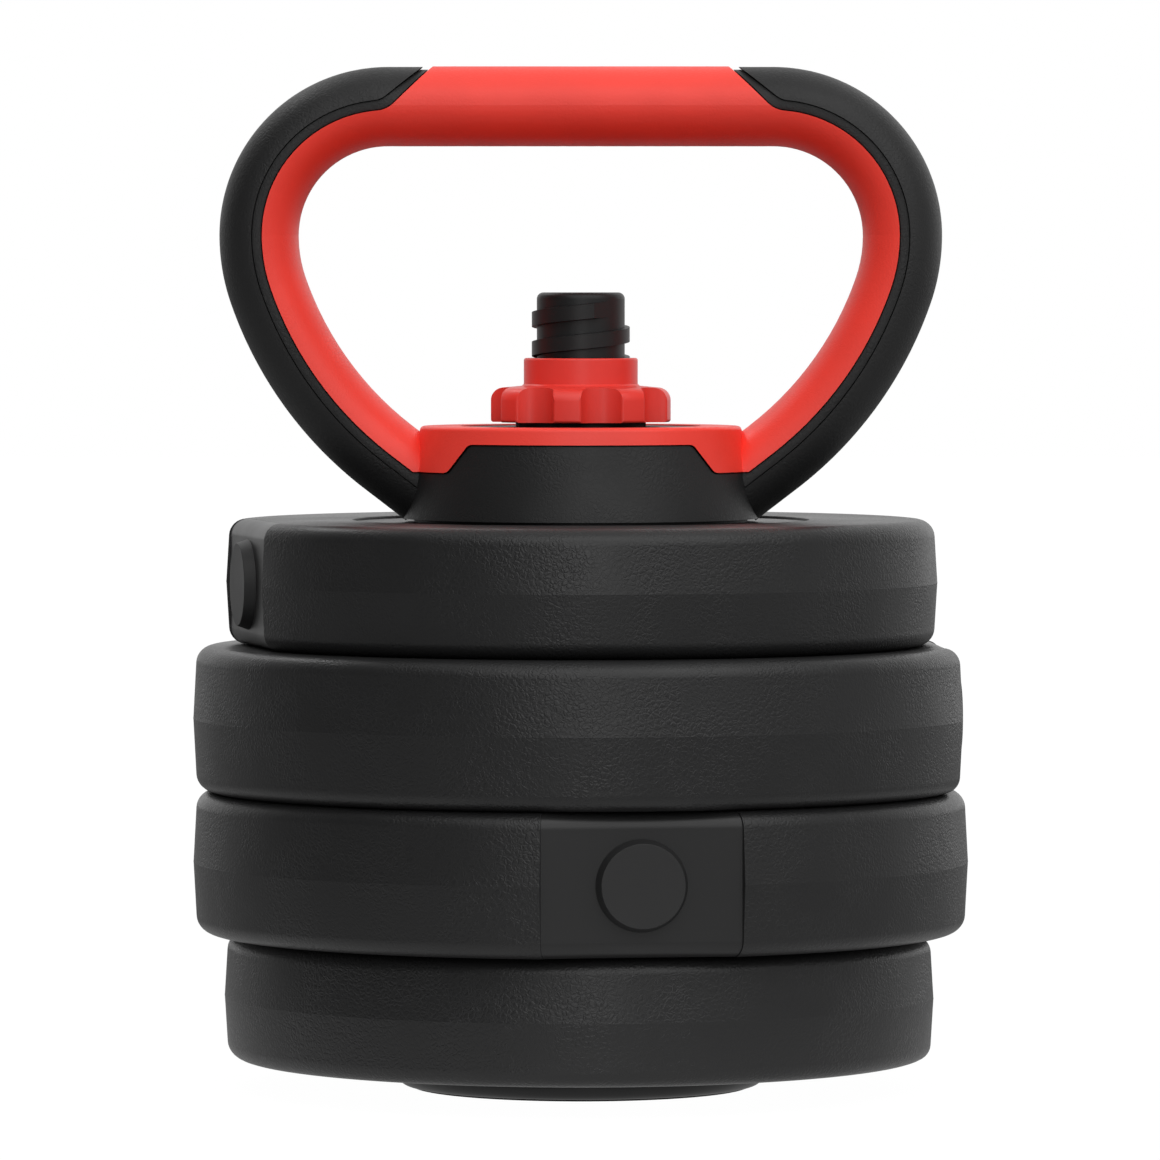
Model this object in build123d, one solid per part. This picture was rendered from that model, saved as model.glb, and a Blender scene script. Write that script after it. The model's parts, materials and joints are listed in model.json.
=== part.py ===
from build123d import *
from math import cos, radians, sin, tan
import os

# An adjustable kettlebell. Four filled plates sit on the post of a round foot, and a star
# nut on the post's thread clamps the handle's hub down onto them.
# Sizes are in millimetres. The origin is the centre of the foot's underside, +Z is up, and
# the handle's loop lies in the XZ plane. Turns are in degrees about +Z, measured from the
# front (-Y) towards +X.

# ---- plates -------------------------------------------------------------------------
LARGE_R = 100.0          # rim radius of the two middle plates, at the seam
SMALL_R = 92.0           # rim radius of the top and bottom plates
SMALL_T = 32.4           # thickness of the top and bottom plates
PLATE_2_T = 37.3         # thickness of the upper middle plate
PLATE_3_T = 36.4         # thickness of the lower middle plate
RIM_DRAFT = 1.0          # fall of the rim from its seam to either face
RIM_EDGE_R = 5.5         # rounding between rim and face
RECESS_R = 59.0          # shallow round recess in each face
RECESS_DEPTH = 0.7
SHELL_WALL = 2.5         # moulded skin round the cement
PLATE_PLAY = 0.75        # radial play of a plate on the thread
FACE_GAP = 0.1           # air between two stacked faces

# ---- filler pocket and its plug -----------------------------------------------------
POCKET_W = 50.6          # width of the pocket's flat floor
POCKET_SINK = 4.8        # floor below the rim, at the pocket's middle
POCKET_DRAFT = 20.0      # slant of the pocket's ends and of the plug's edge
POCKET_EDGE_R = 1.7      # rounding from the floor to either face of the plate
BLOCK_DEPTH = 8.0        # block that carries the floor out over the rim's roundings
BLOCK_REACH = 0.4        # block beyond the floor's width, inside the pocket's ends
BLOCK_SINK = 0.03        # block below either face of the plate
BLOCK_FRONT = 0.5        # block's front above the cut it stands in
PLUG_R = 11.6            # plug's flange, where it sits on the floor
PLUG_H = 2.9             # height of the flange
PLUG_EDGE_R = 0.15
FILL_HOLE_R = 8.0        # hole that the plug's stub closes
STUB_L = 5.0             # stub below the floor
PLATE_1_TURN = -77.6     # where each plate's pocket faces
PLATE_2_TURN = 93.0
PLATE_3_TURN = 9.1
PLATE_4_TURN = 96.0

# ---- foot and post ------------------------------------------------------------------
PAD_R = 43.5             # rubber pad under the foot
PAD_T = 2.0
PAD_PROUD = 0.5          # pad below the foot's plastic
FOOT_R = 47.5
FOOT_T = 7.8             # plastic of the foot, without the pad's overhang
FOOT_LOW_EDGE_R = 3.0
FOOT_TOP_EDGE_R = 0.6
POST_R = 11.35           # post between the thread's turns
POST_SHOWN = 16.9        # post above the nut's collar
POST_EDGE_R = 1.7

# ---- thread -------------------------------------------------------------------------
PITCH = 7.6
THREAD_H = 1.3           # ridge above the post
RIDGE_FOOT_W = 4.3       # ridge's width on the post
RIDGE_TOP_W = 3.7        # ridge's width at its top
RIDGE_ROOT = 0.5         # how deep a ridge is rooted in its wall
THREAD_LOW = 60.0        # lowest turn's height
THREAD_END_DROP = 4.2    # ridge's upper end below the post's top
THREAD_END_TURN = 42.0   # where the ridge's upper end faces
THREAD_CREST_GAP = 0.3   # nut to post, radially
THREAD_FLANK_GAP = 0.2   # nut to post, along the axis

# ---- steel core of the post ---------------------------------------------------------
CORE_R = 8.0
CORE_WALL = 2.0
CORE_CAP = 6.0           # plastic above the core
FLANGE_R = 30.0
FLANGE_T = 2.5
SCREWS = 4
SCREW_CIRCLE_R = 20.0
SCREW_R = 2.0
SCREW_HEAD_R = 3.8
SCREW_HEAD_H = 1.8
SCREW_L = 6.0
SOCKET_R = 1.3
SOCKET_DEPTH = 1.2

# ---- handle's hub -------------------------------------------------------------------
HUB_H = 24.7
HUB_TOP_R = 41.3
HUB_BOTTOM_R = 46.2
HUB_EDGE_R = 1.2
HUB_SEAT_R = 43.0        # flat that rests in the top plate's recess
HUB_SEAT_H = 0.9         # hub's skirt above that flat
HUB_SINK = 0.4           # black hub below the red band's surface
HUB_PLAY = 0.5           # radial play of the hub on the thread
DISC_R = 31.0            # black disc in the red ring on top of the hub
DISC_SINK = 0.3
BAND_H = 4.3             # red band round the hub's top
TAB_H = 11.6             # red tab beside each arm, from the hub's top
TAB_HIGH_X = 28.6        # slanted edge of the tab: its upper end
TAB_LOW_X = 34.2         # and its lower end
BAND_ROUND_R = 2.0
POCKETS = 3              # moulded pockets under each side of the hub
POCKET_DEEP = 18.0
POCKET_IN_R = 18.0
POCKET_OUT_R = 39.0
POCKET_SWEEP = 24.0      # degrees
POCKET_STEP = 30.0       # degrees from one pocket to the next

# ---- handle's loop ------------------------------------------------------------------
BAR_W = 20.6             # bar across, in the loop's plane
BAR_D = 28.0             # bar from front to back
WINDOW_H = 72.0          # hub's top to the grip's underside
GRIP_HALF = 49.7         # straight of the grip, from the middle
CORNER_R = 33.3          # the loop's bends, on the bar's centre line
SHOULDER_R = 43.4
SHOULDER_TURN = 19.0
ARM_R = 92.0
ARM_TURN = 33.5
ARM_TAIL = 13.5          # straight of the arm, into the hub
SKIN = 2.5               # thickness of the grip and the covers
COVER_SINK = 0.15        # cover below the grip's surface
COVER_LINE = 1.2         # cover's edge, outside the bar's centre line
RED_LINE = 1.3           # grip's edge, inside the bar's centre line
CHANNEL_SINK = 0.85      # black strip between them, below the grip's surface
RED_GAP = 0.35           # groove between the red edge and the black beside it
COVER_GAP = 0.25         # groove between a cover's edge and the strip
COVER_TIP_X = 40.1       # cover's tip on top of the loop
COVER_TIP_SLOPE = 39.3   # slant of the cover's end, below level
COVER_BEND_R = 5.6
RED_TIP_X = 38.0         # the same for the grip's red, beside the strip
RED_TIP_SLOPE = 44.5
RED_BEND_R = 7.0
ROD_R = 4.0              # steel rod in the bar
ROD_SHORT = 5.0          # rod's end short of the bar's end

# ---- star nut and its gasket --------------------------------------------------------
NUT_R = 23.2
NUT_LOBE_H = 8.6         # height of a lobe at its outer edge
NUT_CROWN = 0.75         # rise of the nut's top from lobe to collar
NUT_TOP_EDGE_R = 3.3
NUT_LOW_EDGE_R = 0.7
LOBES = 8
LOBE_TURN = -8.8         # where one lobe faces
LOBE_EDGE_R = 0.7        # rounding of a lobe's upright edges
SCALLOP_R = 5.9          # hollow between two lobes
SCALLOP_SINK = 4.2
COLLAR_R = 14.7
COLLAR_H = 7.15
COLLAR_EDGE_R = 0.6
COLLAR_FOOT_R = 0.5      # rounding where collar meets star
GASKET_OUT_R = 16.8
GASKET_IN_R = 13.4
GASKET_T = 2.7
GASKET_SINK = 1.5        # gasket inside the nut
GASKET_PLAY = 0.3

# ---- heights and radii that follow from the sizes above ---------------------------------
THREAD_R = POST_R + THREAD_H
PLATE_BORE_R = THREAD_R + PLATE_PLAY
HUB_BORE_R = THREAD_R + HUB_PLAY
FOOT_TOP = PAD_PROUD + FOOT_T
Z_4 = FOOT_TOP - RECESS_DEPTH + FACE_GAP
Z_3 = Z_4 + SMALL_T + FACE_GAP
Z_2 = Z_3 + PLATE_3_T + FACE_GAP
Z_1 = Z_2 + PLATE_2_T + FACE_GAP
HUB_Z = Z_1 + SMALL_T - RECESS_DEPTH + FACE_GAP
HUB_TOP = HUB_Z + HUB_H
LOOP_Z = HUB_TOP + WINDOW_H + BAR_W / 2
GASKET_Z = HUB_TOP - DISC_SINK + FACE_GAP
NUT_Z = GASKET_Z + GASKET_T - GASKET_SINK
LOBE_TOP = NUT_Z + NUT_LOBE_H
COLLAR_Z = LOBE_TOP + NUT_CROWN
NUT_TOP = COLLAR_Z + COLLAR_H
POST_TOP = NUT_TOP + POST_SHOWN
CORE_TOP = POST_TOP - CORE_CAP
THREAD_TOP = POST_TOP - THREAD_END_DROP
FRONT = -90.0            # direction of the front, in degrees from +X
WIDE = 3 * LARGE_R       # longer than the kettlebell is wide
EPS = 0.01


# ---- helpers ----------------------------------------------------------------------------
def outline(points, rounds=()):
    """A flat face through 2D points, with some of its corners rounded."""
    face = make_face(Polyline(*points, close=True))
    for point, radius in rounds:
        corner = face.vertices().sort_by_distance(Vector(*point))[0]
        face = fillet(corner, radius)
    return face


def turned(points, rounds=()):
    """A solid of revolution about Z from (radius, height) points."""
    return revolve(Plane.XZ * outline(points, rounds), axis=Axis.Z)


def tube(inner, outer, low, high):
    return turned([(inner, low), (outer, low), (outer, high), (inner, high)])


def rod(radius, low, high):
    upright = (Align.CENTER, Align.CENTER, Align.MIN)
    return Pos(0, 0, low) * Cylinder(radius, high - low, align=upright)


def through(face):
    """A face in the loop's plane, made into a prism that runs through from front to back."""
    return extrude(Plane.XZ * face, amount=WIDE / 2, both=True)


# ---- plates -----------------------------------------------------------------------------
def pocket_prism(radius, thickness, spread, deeper=0):
    """The pocket at a plate's front. A spread enlarges it all round, and deeper carries its
    slanted ends on below its floor."""
    slope = tan(radians(POCKET_DRAFT))
    floor = radius - POCKET_SINK - spread
    half = POCKET_W / 2 + spread
    low = floor - deeper
    low_half = half - deeper * slope
    far = radius + SHELL_WALL
    mouth = half + (far - floor) * slope
    points = [(-low_half, -low), (low_half, -low), (mouth, -far), (-mouth, -far)]
    return extrude(outline(points), amount=thickness)


def pocket_block(radius, thickness):
    """The block whose front is the pocket's floor, rounded into the plate's two faces."""
    front = -(radius - POCKET_SINK)
    back = front + BLOCK_DEPTH
    low, high = BLOCK_SINK, thickness - BLOCK_SINK
    side = outline([(front, low), (back, low), (back, high), (front, high)],
                   [((front, low), POCKET_EDGE_R), ((front, high), POCKET_EDGE_R)])
    return extrude(Plane.YZ * side, amount=POCKET_W / 2 + BLOCK_REACH, both=True)


def plate_skin(radius, thickness):
    """Outer shape of a plate, with its bore and the recess in each face."""
    edge = radius - RIM_DRAFT
    low, high = RECESS_DEPTH, thickness - RECESS_DEPTH
    points = [(PLATE_BORE_R, low), (RECESS_R, low), (RECESS_R, 0), (edge, 0), (radius, thickness / 2),
              (edge, thickness), (RECESS_R, thickness), (RECESS_R, high), (PLATE_BORE_R, high)]
    rounds = [((edge, 0), RIM_EDGE_R), ((edge, thickness), RIM_EDGE_R)]
    rim = turned(points, rounds) - pocket_prism(radius, thickness, 0, BLOCK_FRONT)
    return rim + pocket_block(radius, thickness)


def plate_cavity(radius, thickness):
    """The hollow inside a plate's skin."""
    edge = radius - RIM_DRAFT - SHELL_WALL
    inner = PLATE_BORE_R + SHELL_WALL
    low = RECESS_DEPTH + SHELL_WALL
    high = thickness - low
    points = [(inner, low), (edge, low), (radius - SHELL_WALL, thickness / 2), (edge, high),
              (inner, high)]
    rounds = [((edge, low), RIM_EDGE_R - SHELL_WALL), ((edge, high), RIM_EDGE_R - SHELL_WALL)]
    return turned(points, rounds) - pocket_prism(radius, thickness, SHELL_WALL)


def at_pocket(radius, thickness):
    """Plane on the pocket's floor, facing out."""
    return Plane(origin=(0, POCKET_SINK - radius, thickness / 2), z_dir=(0, -1, 0))


def plug_stub(radius, thickness):
    return at_pocket(radius, thickness) * rod(FILL_HOLE_R, -STUB_L, 0)


def plate_plug(radius, thickness):
    top_r = PLUG_R - PLUG_H * tan(radians(POCKET_DRAFT))
    head = turned([(0, 0), (PLUG_R, 0), (top_r, PLUG_H), (0, PLUG_H)], [((top_r, PLUG_H), PLUG_EDGE_R)])
    return at_pocket(radius, thickness) * head + plug_stub(radius, thickness)


def plate(name, radius, thickness, low, turn):
    """One plate's three pieces: moulded shell, cement fill and filler plug."""
    place = Pos(0, 0, low) * Rot(0, 0, turn)
    stub = plug_stub(radius, thickness)
    cavity = plate_cavity(radius, thickness)
    return {
        name + "_shell": place * (plate_skin(radius, thickness) - cavity - stub),
        name + "_cement": place * (cavity - stub),
        name + "_plug": place * plate_plug(radius, thickness),
    }


# ---- thread -----------------------------------------------------------------------------
def ridge(wall_r, rooted_r, top_r, foot_w, top_w, low, high, end_turn):
    """A right-handed helical ridge on a wall, from one height to another. Its centre line
    reaches the upper height where the end turn faces."""
    path = Helix(pitch=PITCH, height=high - low, radius=wall_r)
    section = Plane(origin=path @ 0, x_dir=(1, 0, 0), z_dir=(0, 1, 0))
    points = [(rooted_r - wall_r, -foot_w / 2), (top_r - wall_r, -top_w / 2),
              (top_r - wall_r, top_w / 2), (rooted_r - wall_r, foot_w / 2)]
    start_turn = end_turn - 360 * (high - low) / PITCH
    swept = sweep(section * outline(points), path=path, is_frenet=True)
    return Pos(0, 0, low) * Rot(0, 0, FRONT + start_turn) * swept


def run_out(turn, height):
    """A block that planes the post's ridge away to nothing, where the turn faces."""
    block = Box(THREAD_R, WIDE / 10, PITCH, align=(Align.MIN, Align.CENTER, Align.CENTER))
    return Pos(0, 0, height) * Rot(0, 0, FRONT + turn) * Pos(POST_R, 0, 0) * block


def post_thread():
    low_turn = THREAD_END_TURN - 360 * (THREAD_TOP - THREAD_LOW) / PITCH
    whole = ridge(POST_R, POST_R - RIDGE_ROOT, THREAD_R, RIDGE_FOOT_W, RIDGE_TOP_W,
                  THREAD_LOW, THREAD_TOP, THREAD_END_TURN)
    return whole - run_out(THREAD_END_TURN, THREAD_TOP) - run_out(low_turn, THREAD_LOW)


# ---- base: foot, post, core and pad -------------------------------------------------------
def screw_places():
    return PolarLocations(SCREW_CIRCLE_R, SCREWS, start_angle=45)


def screw(top):
    """Outer shape of one countersunk screw, head down, up to a height."""
    neck = PAD_T + SCREW_HEAD_H
    return turned([(0, PAD_T), (SCREW_HEAD_R, PAD_T), (SCREW_R, neck), (SCREW_R, top), (0, top)])


def core_outside():
    """The space in the foot and post that the steel core fills."""
    return rod(CORE_R, PAD_T, CORE_TOP) + rod(FLANGE_R, PAD_T, PAD_T + FLANGE_T)


def steel_core():
    screws = screw_places() * screw(PAD_T + SCREW_L)
    return core_outside() - rod(CORE_R - CORE_WALL, PAD_T, CORE_TOP) - screws


def core_screws():
    socket = extrude(Pos(0, 0, PAD_T) * RegularPolygon(SOCKET_R, 6), amount=SOCKET_DEPTH)
    return Compound(children=[place * (screw(PAD_T + SCREW_L) - socket) for place in screw_places()])


def base_post():
    """Foot and threaded post, moulded in one."""
    points = [(0, PAD_PROUD), (FOOT_R, PAD_PROUD), (FOOT_R, FOOT_TOP),
              (POST_R, FOOT_TOP), (POST_R, POST_TOP), (0, POST_TOP)]
    rounds = [((FOOT_R, PAD_PROUD), FOOT_LOW_EDGE_R), ((FOOT_R, FOOT_TOP), FOOT_TOP_EDGE_R),
              ((POST_R, POST_TOP), POST_EDGE_R)]
    body = turned(points, rounds) + post_thread()
    screws = screw_places() * screw(PAD_T + SCREW_L)
    return body - core_outside() - rod(PAD_R, PAD_PROUD, PAD_T) - screws


def foot_pad():
    return rod(PAD_R, 0, PAD_T)


# ---- handle: outer shapes -------------------------------------------------------------------
def loop_line(out, tail):
    """Half of the loop's line in its own plane, moved outwards from the bar's centre line."""
    grip = Line((0, LOOP_Z + out), (GRIP_HALF, LOOP_Z + out))
    corner = JernArc(grip @ 1, grip % 1, CORNER_R + out, -90)
    shoulder = JernArc(corner @ 1, corner % 1, SHOULDER_R + out, -SHOULDER_TURN)
    arm = JernArc(shoulder @ 1, shoulder % 1, ARM_R + out, -ARM_TURN)
    end = Line(arm @ 1, arm @ 1 + (arm % 1) * tail)
    return [grip, corner, shoulder, arm, end]


def along_loop(section, tail):
    """A section swept along the whole loop, and cut off level with the hub's underside."""
    start = Plane(origin=(0, 0, LOOP_Z), x_dir=(0, 0, 1), z_dir=(1, 0, 0))
    half = sweep(start * section, path=Plane.XZ * Wire(loop_line(0, tail)))
    half = half & rod(WIDE, HUB_Z, HUB_Z + WIDE)
    return half + mirror(half, Plane.YZ)


def bar(grow):
    """The loop's oval bar, larger all round by grow."""
    return along_loop(Ellipse(BAR_W / 2 + grow, BAR_D / 2 + grow), ARM_TAIL)


def hub(grow):
    """The hub's cone above its seat, larger all round by grow, with its top edge rounded."""
    top = HUB_TOP + grow
    skirt = HUB_Z + HUB_SEAT_H
    points = [(0, HUB_Z), (HUB_SEAT_R, HUB_Z), (HUB_SEAT_R, skirt), (HUB_BOTTOM_R + grow, skirt),
              (HUB_TOP_R + grow, top), (0, top)]
    return turned(points, [((HUB_TOP_R + grow, top), HUB_EDGE_R)])


def inward_face(out, tip, tip_slope, bend_r):
    """All that lies inside the loop's line moved outwards by out, with the grip's whole
    section between two slanted ends, whose tips are on top of the loop."""
    line = loop_line(out, ARM_TAIL)
    foot = line[-1] @ 1
    half = make_face(line + [Line(foot, (0, foot.Y)), Line((0, foot.Y), (0, LOOP_Z + out))])
    top = LOOP_Z + BAR_W / 2
    slope = tan(radians(tip_slope))
    high = top + BAR_W
    low = top - BAR_W
    lean = BAR_W / slope
    half = half + outline([(0, low), (tip + lean, low), (tip - lean, high), (0, high)])
    corner = Vector(tip + (top - LOOP_Z - out) / slope, LOOP_Z + out)
    half = fillet(half.vertices().sort_by_distance(corner)[0], bend_r)
    return half + mirror(half, Plane.YZ)


def covers_prism(gap):
    """Inside of the covers' edges, wider all round by gap."""
    tip = COVER_TIP_X + gap / sin(radians(COVER_TIP_SLOPE))
    return through(inward_face(COVER_LINE + gap, tip, COVER_TIP_SLOPE, COVER_BEND_R))


def red_prism(gap):
    """Where the grip's red shows, wider all round by gap: inside of the loop, top of the grip
    and the hub's top band with its two tabs."""
    low = HUB_TOP - BAND_H - gap
    tab = HUB_TOP - TAB_H - gap
    high = LOOP_Z + WIDE
    high_x = TAB_HIGH_X - gap
    low_x = TAB_LOW_X - gap
    points = [(-high_x, low), (high_x, low), (low_x, tab), (WIDE, tab), (WIDE, high),
              (-WIDE, high), (-WIDE, tab), (-low_x, tab)]
    bends = [(-high_x, low), (high_x, low), (low_x, tab), (-low_x, tab)]
    above = outline(points, [(bend, BAND_ROUND_R) for bend in bends])
    tip = RED_TIP_X + gap / sin(radians(RED_TIP_SLOPE))
    return through(inward_face(gap - RED_LINE, tip, RED_TIP_SLOPE, RED_BEND_R) & above)


# ---- handle: pieces -------------------------------------------------------------------------
def hub_pockets():
    """Mould pockets under the hub, on the two sides that are clear of the arms."""
    ring = tube(POCKET_IN_R, POCKET_OUT_R, HUB_Z, HUB_Z + POCKET_DEEP)
    half = radians(POCKET_SWEEP / 2)
    far_x, far_y = WIDE * cos(half), WIDE * sin(half)
    sector = outline([(0, 0), (far_x, -far_y), (far_x, far_y)])
    one = ring & extrude(Pos(0, 0, HUB_Z) * sector, amount=POCKET_DEEP)
    middle = (POCKETS - 1) / 2
    turns = [side + POCKET_STEP * (i - middle) for side in (FRONT, -FRONT) for i in range(POCKETS)]
    return [Rot(0, 0, turn) * one for turn in turns]


def handle_pieces():
    core = bar(-SKIN) + hub(-SKIN) + rod(DISC_R, HUB_TOP - SKIN - EPS, HUB_TOP - DISC_SINK)
    beside_red = red_prism(RED_GAP)
    bore = rod(HUB_BORE_R, HUB_Z, HUB_TOP)
    steel = along_loop(Circle(ROD_R), ARM_TAIL - ROD_SHORT)

    strip = (bar(-CHANNEL_SINK) & covers_prism(0)) - beside_red
    black_hub = hub(-HUB_SINK) - beside_red
    frame = core + strip + black_hub - bore - steel - hub_pockets()

    outside = bar(0) + hub(0)
    grip = (outside & red_prism(0)) - core - rod(DISC_R, HUB_Z, HUB_TOP + SKIN)

    covers = bar(-COVER_SINK) - core - covers_prism(COVER_GAP) - hub(-HUB_SINK)
    left = Pos(-WIDE / 2, 0, LOOP_Z) * Box(WIDE, WIDE, WIDE)
    return {
        "handle_frame": frame,
        "handle_rod": steel,
        "red_grip": grip,
        "cover_left": covers & left,
        "cover_right": covers - left,
    }


# ---- star nut and gasket ----------------------------------------------------------------------
def star_nut():
    bore = THREAD_R + THREAD_CREST_GAP
    crown_r = COLLAR_R + COLLAR_FOOT_R
    points = [(bore, NUT_Z), (NUT_R, NUT_Z), (NUT_R, LOBE_TOP), (crown_r, COLLAR_Z),
              (COLLAR_R, COLLAR_Z + COLLAR_FOOT_R), (COLLAR_R, NUT_TOP), (bore, NUT_TOP)]
    rounds = [((NUT_R, NUT_Z), NUT_LOW_EDGE_R), ((NUT_R, LOBE_TOP), NUT_TOP_EDGE_R),
              ((COLLAR_R, NUT_TOP), COLLAR_EDGE_R)]
    body = turned(points, rounds) & star_prism()
    body -= rod(GASKET_OUT_R + GASKET_PLAY, NUT_Z, NUT_Z + GASKET_SINK)
    return body + nut_thread(bore)


def star_prism():
    """The nut's star in plan, with its lobes' edges rounded, as high as the nut."""
    distance = NUT_R - SCALLOP_SINK + SCALLOP_R
    first = FRONT + LOBE_TURN + 180 / LOBES
    star = Circle(NUT_R) - PolarLocations(distance, LOBES, start_angle=first) * Circle(SCALLOP_R)
    star = fillet(star.vertices(), LOBE_EDGE_R)
    return extrude(Pos(0, 0, NUT_Z) * star, amount=NUT_TOP - NUT_Z, dir=(0, 0, 1))


def nut_thread(bore):
    """The nut's ridge, centred in the groove of the post's thread."""
    groove = PITCH - RIDGE_TOP_W - 2 * THREAD_FLANK_GAP
    slope = (RIDGE_FOOT_W - RIDGE_TOP_W) / THREAD_H
    foot_w = groove + slope * (THREAD_CREST_GAP + RIDGE_ROOT)
    top_r = POST_R + THREAD_CREST_GAP
    top_w = groove - slope * (THREAD_R - top_r)
    turns_below = round((THREAD_TOP - NUT_TOP + foot_w) / PITCH)
    high = THREAD_TOP - (turns_below + 0.5) * PITCH
    low = NUT_Z + GASKET_SINK + foot_w
    return ridge(bore, bore + RIDGE_ROOT, top_r, foot_w, top_w, low, high, THREAD_END_TURN)


def nut_gasket():
    return tube(GASKET_IN_R, GASKET_OUT_R, GASKET_Z, GASKET_Z + GASKET_T)


# ---- the whole kettlebell ---------------------------------------------------------------------
def pieces():
    made = {
        "foot_pad": foot_pad(),
        "base_post": base_post(),
        "steel_core": steel_core(),
        "core_screws": core_screws(),
        "star_nut": star_nut(),
        "nut_gasket": nut_gasket(),
    }
    made.update(plate("plate_1", SMALL_R, SMALL_T, Z_1, PLATE_1_TURN))
    made.update(plate("plate_2", LARGE_R, PLATE_2_T, Z_2, PLATE_2_TURN))
    made.update(plate("plate_3", LARGE_R, PLATE_3_T, Z_3, PLATE_3_TURN))
    made.update(plate("plate_4", SMALL_R, SMALL_T, Z_4, PLATE_4_TURN))
    made.update(handle_pieces())
    return made


os.makedirs("parts", exist_ok=True)
for node, shape in pieces().items():
    export_step(shape, f"parts/{node}.step")
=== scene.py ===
"""Looks of an adjustable kettlebell: four filled plates on a threaded post, a star nut and a
loop handle. Everything is in metres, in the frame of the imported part: the origin is under the
foot's centre, +Z is up, +X is along the handle and -Y is the front."""
import json
import math

import bmesh
import bpy
from mathutils import Matrix, Vector


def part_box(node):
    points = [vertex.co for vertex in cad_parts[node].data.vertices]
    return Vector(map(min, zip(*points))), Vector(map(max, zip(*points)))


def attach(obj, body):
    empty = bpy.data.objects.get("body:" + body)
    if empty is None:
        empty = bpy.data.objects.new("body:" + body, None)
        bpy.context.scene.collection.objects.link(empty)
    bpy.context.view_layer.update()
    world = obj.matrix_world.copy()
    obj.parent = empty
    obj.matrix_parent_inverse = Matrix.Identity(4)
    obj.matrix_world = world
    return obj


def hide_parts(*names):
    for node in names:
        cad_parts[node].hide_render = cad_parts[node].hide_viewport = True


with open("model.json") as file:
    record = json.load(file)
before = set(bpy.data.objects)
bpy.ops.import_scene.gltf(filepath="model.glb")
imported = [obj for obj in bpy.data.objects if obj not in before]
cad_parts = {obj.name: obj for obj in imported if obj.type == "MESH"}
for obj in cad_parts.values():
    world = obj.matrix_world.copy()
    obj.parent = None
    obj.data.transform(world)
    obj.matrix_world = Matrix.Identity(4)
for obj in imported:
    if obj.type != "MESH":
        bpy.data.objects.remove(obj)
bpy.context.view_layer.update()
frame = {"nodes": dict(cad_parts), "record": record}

MM = 0.001

# ---- camera ---------------------------------------------------------------------------------
CAMERA_AT = (-0.0002, -2.160, 0.2061)
CAMERA_DOWN = 1.997          # degrees below level
CAMERA_LENS = 259.81
CAMERA_SENSOR = 36.0

# ---- colours, as linear values -----------------------------------------------------------------
BLACK_PLATE = (0.0125, 0.0125, 0.0128)
BLACK_PLUG = (0.0135, 0.0135, 0.0137)
BLACK_HUB = (0.0115, 0.0115, 0.0117)
BLACK_COVER = (0.0105, 0.0105, 0.0107)
BLACK_POST = (0.009, 0.009, 0.0092)
BLACK_RUBBER = (0.014, 0.014, 0.014)
RED_GRIP = (0.86, 0.039, 0.022)
RED_NUT = (0.74, 0.036, 0.024)
CEMENT_GREY = (0.42, 0.41, 0.39)
STEEL_GREY = (0.55, 0.55, 0.56)


# ---- nodes ------------------------------------------------------------------------------------
def add(tree, kind, inputs=None, **settings):
    """A node with its settings, and with a value or a link at each named input."""
    made = tree.nodes.new(kind)
    for name, value in settings.items():
        setattr(made, name, value)
    for key, value in (inputs or {}).items():
        if isinstance(value, bpy.types.NodeSocket):
            tree.links.new(value, made.inputs[key])
        else:
            made.inputs[key].default_value = value
    return made


def arithmetic(tree, operation, first, second):
    return add(tree, "ShaderNodeMath", {0: first, 1: second}, operation=operation).outputs[0]


def between(tree, value, low, high, to_low=0.0, to_high=1.0):
    """A value carried smoothly from one range to another."""
    inputs = {"Value": value, "From Min": low, "From Max": high, "To Min": to_low, "To Max": to_high}
    return add(tree, "ShaderNodeMapRange", inputs, interpolation_type="SMOOTHSTEP").outputs["Result"]


def new_group(name, inputs, outputs):
    """An empty node group with its sockets, and the nodes of its two ends."""
    group = bpy.data.node_groups.new(name, "ShaderNodeTree")
    for label, kind, value in inputs:
        made = group.interface.new_socket(label, in_out="INPUT", socket_type="NodeSocket" + kind)
        if value is not None:
            made.default_value = value
    for label in outputs:
        group.interface.new_socket(label, in_out="OUTPUT", socket_type="NodeSocketFloat")
    return group, group.nodes.new("NodeGroupInput"), group.nodes.new("NodeGroupOutput")


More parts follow.
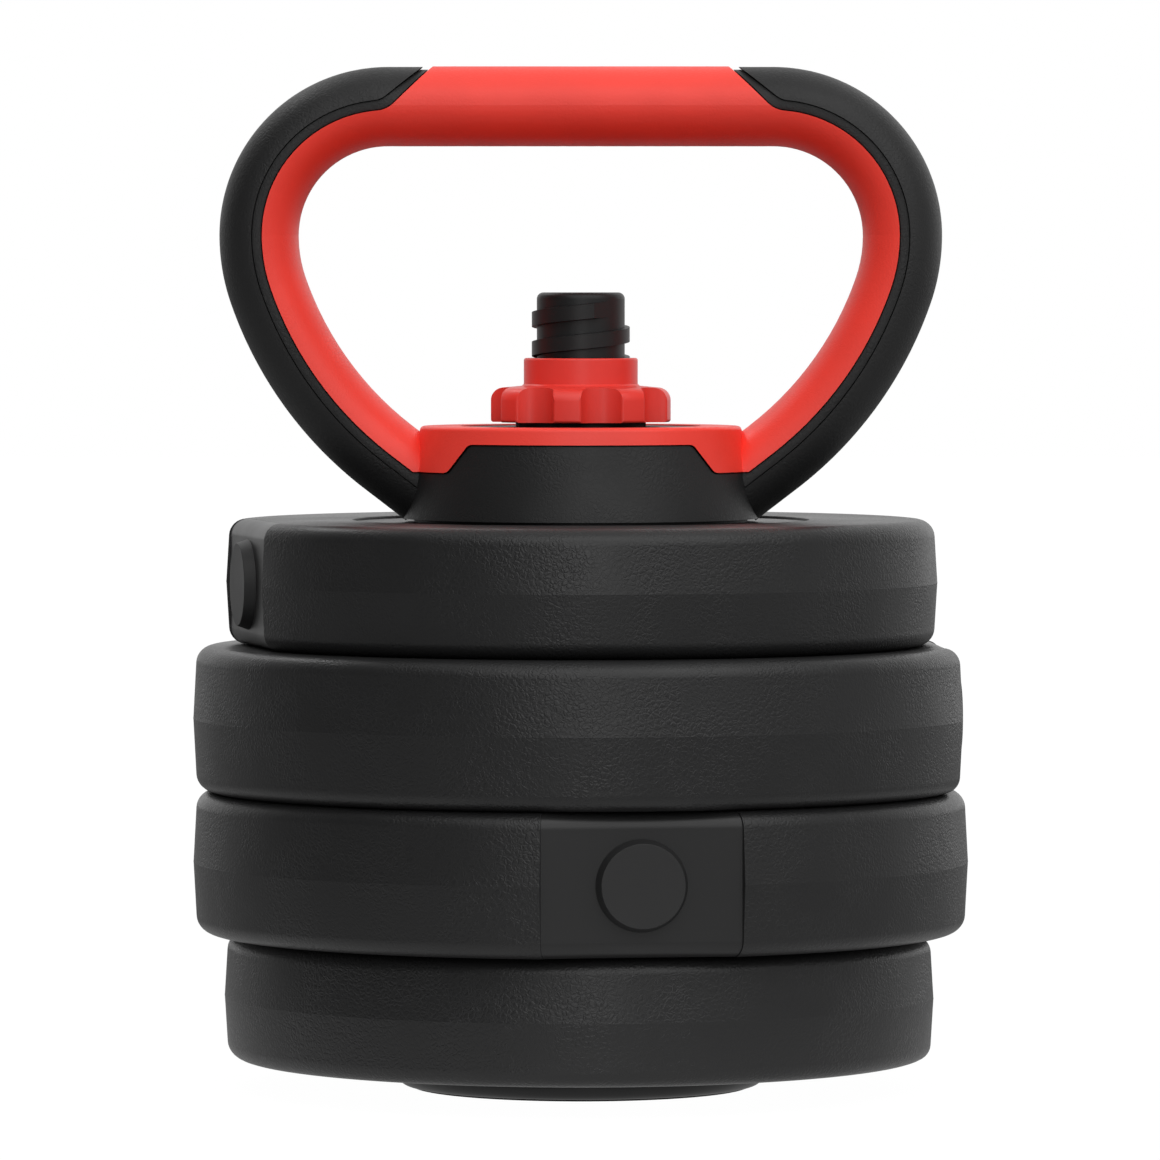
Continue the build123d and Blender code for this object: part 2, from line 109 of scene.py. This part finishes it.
def pebble_grain():
    """Moulded leather grain: low pebbles with fine creases between them, fainter in places."""
    inputs = [("Position", "Vector", None), ("Pebble Size", "Float", 0.0011)]
    group, given, result = new_group("pebble_grain", inputs, ["Height", "Crease"])
    per_metre = arithmetic(group, "DIVIDE", 1.0, given.outputs["Pebble Size"])
    place = add(group, "ShaderNodeVectorMath", {0: given.outputs["Position"], "Scale": per_metre},
                operation="SCALE").outputs[0]
    wander = add(group, "ShaderNodeTexNoise", {"Vector": place, "Scale": 0.7, "Detail": 2.0})
    centred = add(group, "ShaderNodeVectorMath", {0: wander.outputs["Color"], 1: (0.5, 0.5, 0.5)},
                  operation="SUBTRACT").outputs[0]
    bent = add(group, "ShaderNodeVectorMath", {0: centred, 1: (1.6, 1.6, 1.6), 2: place},
               operation="MULTIPLY_ADD").outputs[0]
    pebbles = add(group, "ShaderNodeTexVoronoi", {"Vector": bent, "Scale": 1.0, "Randomness": 1.0},
                  feature="DISTANCE_TO_EDGE").outputs["Distance"]
    crease = between(group, pebbles, 0.0, 0.28)
    patches = add(group, "ShaderNodeTexNoise", {"Vector": place, "Scale": 0.09, "Detail": 3.0})
    share = between(group, patches.outputs["Fac"], 0.32, 0.68, 0.25, 1.0)
    fine = add(group, "ShaderNodeTexNoise", {"Vector": place, "Scale": 2.4, "Detail": 2.0})
    dome = arithmetic(group, "MULTIPLY", crease, share)
    speck = arithmetic(group, "MULTIPLY", fine.outputs["Fac"], 0.35)
    group.links.new(arithmetic(group, "ADD", dome, speck), result.inputs["Height"])
    group.links.new(crease, result.inputs["Crease"])
    return group


def mould_satin():
    """The faint life of a smooth moulding: a slow drift of tone and a fine orange peel."""
    inputs = [("Position", "Vector", None), ("Patch Size", "Float", 0.03), ("Peel Size", "Float", 0.0008)]
    group, given, result = new_group("mould_satin", inputs, ["Tone", "Peel"])
    for source, target, size, detail in [("Patch Size", "Tone", 1.0, 4.0), ("Peel Size", "Peel", 1.0, 2.0)]:
        scale = arithmetic(group, "DIVIDE", size, given.outputs[source])
        noise = add(group, "ShaderNodeTexNoise", {"Vector": given.outputs["Position"], "Scale": scale,
                                                  "Detail": detail, "Roughness": 0.55})
        group.links.new(noise.outputs["Fac"], result.inputs[target])
    return group


# ---- shaping ------------------------------------------------------------------------------------
def made_of(bm, name):
    """An object with that mesh, at the origin."""
    mesh = bpy.data.meshes.new(name)
    bm.to_mesh(mesh)
    bm.free()
    made = bpy.data.objects.new(name, mesh)
    bpy.context.scene.collection.objects.link(made)
    return made


def soften(bm, sharp=20.0):
    """Smooth shading, broken at the edges that turn by more than an angle in degrees."""
    bmesh.ops.recalc_face_normals(bm, faces=bm.faces)
    for face in bm.faces:
        face.smooth = True
    for edge in bm.edges:
        edge.smooth = not edge.is_manifold or edge.calc_face_angle() < math.radians(sharp)


def turned(points, rounds, steps=288, segments=8):
    """A bmesh turned about +Z from a closed run of (radius, height) points, in millimetres. Each
    round takes a point's number and how far back its corner is cut on either side."""
    bm = bmesh.new()
    verts = [bm.verts.new((radius * MM, 0, height * MM)) for radius, height in points]
    for first, second in zip(verts, verts[1:] + verts[:1]):
        if first.co.x + second.co.x > 0:
            bm.edges.new((first, second))
    for number, back in rounds.items():
        bmesh.ops.bevel(bm, geom=[verts[number]], offset=back * MM, offset_type="OFFSET",
                        segments=segments, profile=0.5, affect="VERTICES", material=-1)
    bmesh.ops.spin(bm, geom=bm.verts[:] + bm.edges[:], cent=(0, 0, 0), axis=(0, 0, 1),
                   angle=2 * math.pi, steps=steps, use_merge=True)
    bmesh.ops.remove_doubles(bm, verts=bm.verts, dist=0.001 * MM)
    return bm


def even_shading(piece):
    """Lets the broad faces set the shading, so that a flat wall beside a rounding stays flat."""
    weighing = piece.modifiers.new("even_shading", "WEIGHTED_NORMAL")
    weighing.keep_sharp = True
    weighing.weight = 80


def turn_about_post(bm, degrees):
    turn = Matrix.Rotation(math.radians(degrees), 3, "Z")
    bmesh.ops.rotate(bm, verts=bm.verts, cent=(0, 0, 0), matrix=turn)


# ---- plates ------------------------------------------------------------------------------------
LARGE_R = 100.0              # rim's radius at the seam, in millimetres as are all sizes below
SMALL_R = 92.0
RIM_DRAFT = 1.0
RIM_EDGE_R = 4.2             # rounding of the rim, and of the pocket's floor, into either face
BORE_R = 13.4
RECESS_R = 59.0
RECESS_DEPTH = 0.7
RECESS_EDGE_R = 0.25
SEAM_HALF = 0.3              # half the width of the seam's low ridge
SEAM_RISE = 0.04
POCKET_W = 50.6
POCKET_SINK = 4.8
POCKET_DRAFT = 20.0
CUT_DEEPER = RIM_EDGE_R + 0.4  # the cut goes past the floor, and a rounded block is the floor
CUT_BAND = 20.0              # faces whose middle lies no further behind the cut may be cut
BLOCK_DEPTH = 8.0
BLOCK_REACH = 0.4
BLOCK_SINK = 0.03
BLOCK_PROUD = 0.02
PLATE_TURNS = {"plate_1": -77.6, "plate_2": 93.0, "plate_3": 9.1, "plate_4": 96.0}


def cut_pocket(bm, radius):
    """The filler pocket at the front of the rim: its outline is cut in with three planes, what
    stands in it is taken out, and its two ends and its back are closed."""
    floor = (radius - POCKET_SINK - CUT_DEEPER) * MM
    near = CUT_BAND * MM - floor
    lean = math.radians(POCKET_DRAFT)
    half = (POCKET_W / 2 - CUT_DEEPER * math.tan(lean)) * MM
    ends = [(Vector((side * half, -floor, 0)), Vector((side * math.cos(lean), math.sin(lean), 0)))
            for side in (-1, 1)]

    def cut(faces, at, normal):
        around = {*faces, *(e for f in faces for e in f.edges), *(v for f in faces for v in f.verts)}
        bmesh.ops.bisect_plane(bm, geom=list(around), dist=0.002 * MM, plane_co=at, plane_no=normal)

    def inside(face):
        middle = face.calc_center_median()
        return all((middle - at).dot(normal) < 0 for at, normal in ends)

    for at, normal in ends:
        cut([f for f in bm.faces if f.calc_center_median().y < near], at, normal)
    cut([f for f in bm.faces if inside(f) and f.calc_center_median().y < near],
        Vector((0, -floor, 0)), Vector((0, -1, 0)))
    gone = [f for f in bm.faces if inside(f) and f.calc_center_median().y < -floor]
    bmesh.ops.delete(bm, geom=gone, context="FACES")
    rim = [e for e in bm.edges if e.is_boundary]
    for at, _ in ends:
        corners = sorted({v for e in rim for v in e.verts}, key=lambda v: (v.co.xy - at.xy).length)
        bm.edges.new(corners[:2])
    bmesh.ops.edgenet_fill(bm, edges=[e for e in bm.edges if len(e.link_faces) < 2])


def plate_shell(name, radius, body):
    low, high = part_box(name)
    thickness = (high.z - low.z) / MM
    edge = radius - RIM_DRAFT
    mid = thickness / 2
    near_seam = radius - SEAM_RISE
    points = [(BORE_R, RECESS_DEPTH), (RECESS_R, RECESS_DEPTH), (RECESS_R, 0), (edge, 0),
              (near_seam, mid - SEAM_HALF), (radius, mid - SEAM_HALF / 3), (radius, mid + SEAM_HALF / 3),
              (near_seam, mid + SEAM_HALF), (edge, thickness), (RECESS_R, thickness),
              (RECESS_R, thickness - RECESS_DEPTH), (BORE_R, thickness - RECESS_DEPTH)]
    rounds = {3: RIM_EDGE_R, 8: RIM_EDGE_R, 2: RECESS_EDGE_R, 9: RECESS_EDGE_R}
    bm = turned(points, rounds)
    cut_pocket(bm, radius)
    soften(bm)
    turn_about_post(bm, PLATE_TURNS[body])
    bmesh.ops.translate(bm, verts=bm.verts, vec=(0, 0, low.z))
    piece = made_of(bm, name + "_moulding")
    even_shading(piece)
    piece.data.materials.append(MATERIALS["plate_plastic"])
    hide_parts(name)
    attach(piece, body)


def pocket_block(body, radius):
    """The pocket's smooth floor, as tall as the plate and rounded into its two faces."""
    low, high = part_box(body + "_shell")
    front = -(radius - POCKET_SINK + BLOCK_PROUD) * MM
    back = front + BLOCK_DEPTH * MM
    half = (POCKET_W / 2 + BLOCK_REACH) * MM
    bottom, top = low.z + BLOCK_SINK * MM, high.z - BLOCK_SINK * MM
    bm = bmesh.new()
    bmesh.ops.create_cube(bm, size=1)
    bmesh.ops.scale(bm, verts=bm.verts, vec=(2 * half, back - front, top - bottom))
    bmesh.ops.translate(bm, verts=bm.verts, vec=(0, (back + front) / 2, (top + bottom) / 2))
    long_edges = [e for e in bm.edges if all(v.co.y < (back + front) / 2 for v in e.verts)
                  and abs(e.verts[0].co.z - e.verts[1].co.z) < BLOCK_SINK * MM]
    bmesh.ops.bevel(bm, geom=long_edges, offset=RIM_EDGE_R * MM, offset_type="OFFSET", segments=8,
                    profile=0.5, affect="EDGES", material=-1)
    soften(bm)
    turn_about_post(bm, PLATE_TURNS[body])
    piece = made_of(bm, body + "_pocket_floor")
    even_shading(piece)
    piece.data.materials.append(POCKET_FLOOR)
    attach(piece, body)


GRAIN = pebble_grain()
SATIN = mould_satin()


def finish_of(name, colour, rough, drift=0.12, pebble=0.0, pebble_deep=0.0, peel_deep=0.004 * MM,
              specular=0.5, metallic=0.0):
    """A moulded finish. The colour and the gloss drift a little; the grain is pressed in."""
    material = bpy.data.materials.new(name)
    material.use_nodes = True
    tree = material.node_tree
    shader = tree.nodes["Principled BSDF"]
    place = add(tree, "ShaderNodeTexCoord").outputs["Object"]
    satin = add(tree, "ShaderNodeGroup", {"Position": place}, node_tree=SATIN)
    tone = satin.outputs["Tone"]
    low = [c * (1 - drift) for c in colour] + [1]
    high = [c * (1 + drift) for c in colour] + [1]
    ramp = add(tree, "ShaderNodeValToRGB", {"Fac": tone})
    darkest, palest = ramp.color_ramp.elements
    darkest.position = 0.32
    darkest.color = low
    palest.position = 0.68
    palest.color = high
    tree.links.new(ramp.outputs["Color"], shader.inputs["Base Color"])
    gloss = between(tree, tone, 0.3, 0.7, rough + 0.03, rough - 0.03)
    bump = add(tree, "ShaderNodeBump", {"Height": satin.outputs["Peel"], "Distance": peel_deep})
    if pebble:
        grain = add(tree, "ShaderNodeGroup", {"Position": place, "Pebble Size": pebble}, node_tree=GRAIN)
        gloss = arithmetic(tree, "ADD", gloss, between(tree, grain.outputs["Crease"], 0.0, 1.0, 0.05, 0.0))
        bump = add(tree, "ShaderNodeBump", {"Height": grain.outputs["Height"], "Distance": pebble_deep,
                                            "Normal": bump.outputs["Normal"]})
    tree.links.new(gloss, shader.inputs["Roughness"])
    tree.links.new(bump.outputs["Normal"], shader.inputs["Normal"])
    shader.inputs["Specular IOR Level"].default_value = specular
    shader.inputs["Metallic"].default_value = metallic
    return material


MATERIALS = {
    "plate_plastic": finish_of("plate_plastic", BLACK_PLATE, 0.35, pebble=1.3 * MM, pebble_deep=0.06 * MM),
    "plug_plastic": finish_of("plug_plastic", BLACK_PLUG, 0.5),
    "handle_plastic": finish_of("handle_plastic", BLACK_HUB, 0.45, pebble=1.3 * MM, pebble_deep=0.04 * MM,
                                specular=0.4),
    "cover_black": finish_of("cover_black", BLACK_COVER, 0.48, pebble=1.3 * MM, pebble_deep=0.05 * MM),
    "base_plastic": finish_of("base_plastic", BLACK_POST, 0.42, specular=0.42),
    "grip_red": finish_of("grip_red", RED_GRIP, 0.42, 0.05, pebble=1.0 * MM, pebble_deep=0.02 * MM),
    "nut_plastic": finish_of("nut_plastic", RED_NUT, 0.4, 0.04),
    "pad_rubber": finish_of("pad_rubber", BLACK_RUBBER, 0.75, pebble=0.8 * MM, pebble_deep=0.04 * MM),
    "cement": finish_of("cement", CEMENT_GREY, 0.9, 0.15, peel_deep=0.1 * MM),
    "steel": finish_of("steel", STEEL_GREY, 0.35, 0.06, metallic=1.0),
}
POCKET_FLOOR = finish_of("pocket_floor", BLACK_PLUG, 0.36)

slots = {row["node"]: row["material_slot"] for row in frame["record"]["subparts"]}
for name, piece in frame["nodes"].items():
    piece.data.materials.clear()
    piece.data.materials.append(MATERIALS[slots[name]])

for body in PLATE_TURNS:
    radius = LARGE_R if body in ("plate_2", "plate_3") else SMALL_R
    plate_shell(body + "_shell", radius, body)
    pocket_block(body, radius)


# ---- studio -----------------------------------------------------------------------------------
NEAR_GLOW = 0.56             # what the floor sends back up, near the foot
FAR_GLOW = 0.24              # and away from it
RIGHT_GLOW = 0.3             # what its right side adds
FLOOR_SHARE = 0.97           # share of plain white in the floor near the foot


def pale_floor():
    """A wide pale floor. The camera sees it near white with the kettlebell's faint shadow, and
    its glow lights the kettlebell from below."""
    bm = bmesh.new()
    bmesh.ops.create_grid(bm, x_segments=1, y_segments=1, size=8.0)
    bmesh.ops.translate(bm, verts=bm.verts, vec=(0, 0, -0.0002))
    floor = made_of(bm, "floor")
    material = bpy.data.materials.new("pale_floor")
    material.use_nodes = True
    tree = material.node_tree
    shader = tree.nodes["Principled BSDF"]
    shader.inputs["Base Color"].default_value = (0.8, 0.8, 0.8, 1)
    shader.inputs["Roughness"].default_value = 0.9
    shader.inputs["Specular IOR Level"].default_value = 0.2
    place = add(tree, "ShaderNodeTexCoord").outputs["Object"]
    away = add(tree, "ShaderNodeVectorMath", {0: place}, operation="LENGTH").outputs["Value"]
    seen = add(tree, "ShaderNodeLightPath").outputs["Is Camera Ray"]
    across = add(tree, "ShaderNodeSeparateXYZ", {0: place}).outputs["X"]
    glow = arithmetic(tree, "ADD", between(tree, away, 0.09, 0.38, NEAR_GLOW, FAR_GLOW),
                      between(tree, across, 0.3, 2.0, 0.0, RIGHT_GLOW))
    strength = add(tree, "ShaderNodeMix", {"Factor": seen, 2: glow, 3: 1.02}).outputs[0]
    lit = add(tree, "ShaderNodeEmission", {"Color": (1, 1, 1, 1), "Strength": strength})
    near = between(tree, away, 0.15, 0.9, FLOOR_SHARE, 1.0)
    share = add(tree, "ShaderNodeMix", {"Factor": seen, 2: 1.0, 3: near}).outputs[0]
    both = add(tree, "ShaderNodeMixShader", {0: share, 1: shader.outputs[0], 2: lit.outputs[0]})
    tree.links.new(both.outputs[0], tree.nodes["Material Output"].inputs["Surface"])
    floor.data.materials.append(material)


def surroundings():
    """White behind the kettlebell, dimmer towards the front, and plain for its soft light."""
    world = bpy.data.worlds.new("studio")
    bpy.context.scene.world = world
    world.use_nodes = True
    tree = world.node_tree
    background = tree.nodes["Background"]
    rays = add(tree, "ShaderNodeLightPath").outputs
    side = add(tree, "ShaderNodeSeparateXYZ", {0: add(tree, "ShaderNodeTexCoord").outputs["Generated"]})
    depth = between(tree, side.outputs["Y"], 0.1, 1.0, 0.06, 0.9)
    right = between(tree, side.outputs["X"], -0.2, 0.9, 0.0, 0.3)
    left = between(tree, side.outputs["X"], -1.0, -0.3, 0.75, 1.0)
    gleam = arithmetic(tree, "ADD", arithmetic(tree, "MULTIPLY", depth, left), right)
    soft = between(tree, side.outputs["Z"], -0.1, 0.9, 0.36, 0.9)
    level = add(tree, "ShaderNodeMix", {"Factor": rays["Is Glossy Ray"], 2: soft, 3: gleam}).outputs[0]
    strength = add(tree, "ShaderNodeMix", {"Factor": rays["Is Camera Ray"], 2: level, 3: 1.0}).outputs[0]
    background.inputs["Color"].default_value = (1, 1, 1, 1)
    tree.links.new(strength, background.inputs["Strength"])


def soft_lamp(name, azimuth, elevation, distance, width, height, power):
    """A soft box aimed at the kettlebell's middle. Azimuth 0 is the front, 90 the right."""
    data = bpy.data.lights.new(name, "AREA")
    data.shape = "RECTANGLE"
    data.size = width
    data.size_y = height
    data.energy = power
    lamp = bpy.data.objects.new(name, data)
    a, e = math.radians(azimuth), math.radians(elevation)
    way = Vector((math.sin(a) * math.cos(e), -math.cos(a) * math.cos(e), math.sin(e)))
    lamp.location = Vector((0, 0, 0.13)) + way * distance
    lamp.rotation_mode = "QUATERNION"
    lamp.rotation_quaternion = way.to_track_quat("Z", "Y")
    bpy.context.scene.collection.objects.link(lamp)
    lamp.visible_camera = False


def camera():
    data = bpy.data.cameras.new("camera")
    data.lens = CAMERA_LENS
    data.sensor_width = CAMERA_SENSOR
    data.clip_start = 0.1
    data.clip_end = 50
    made = bpy.data.objects.new("camera", data)
    made.location = CAMERA_AT
    made.rotation_euler = (math.radians(90 - CAMERA_DOWN), 0, 0)
    bpy.context.scene.collection.objects.link(made)
    bpy.context.scene.camera = made


pale_floor()
surroundings()
soft_lamp("key", 18, 40, 2.0, 3.0, 2.2, 20)
soft_lamp("front", 2, 4, 1.9, 0.6, 0.9, 2.6)
soft_lamp("top", 20, 78, 1.6, 2.2, 2.2, 7)
soft_lamp("back_left", -142, 45, 1.6, 0.26, 0.26, 1.25)
camera()
bpy.context.scene.view_settings.view_transform = "Standard"
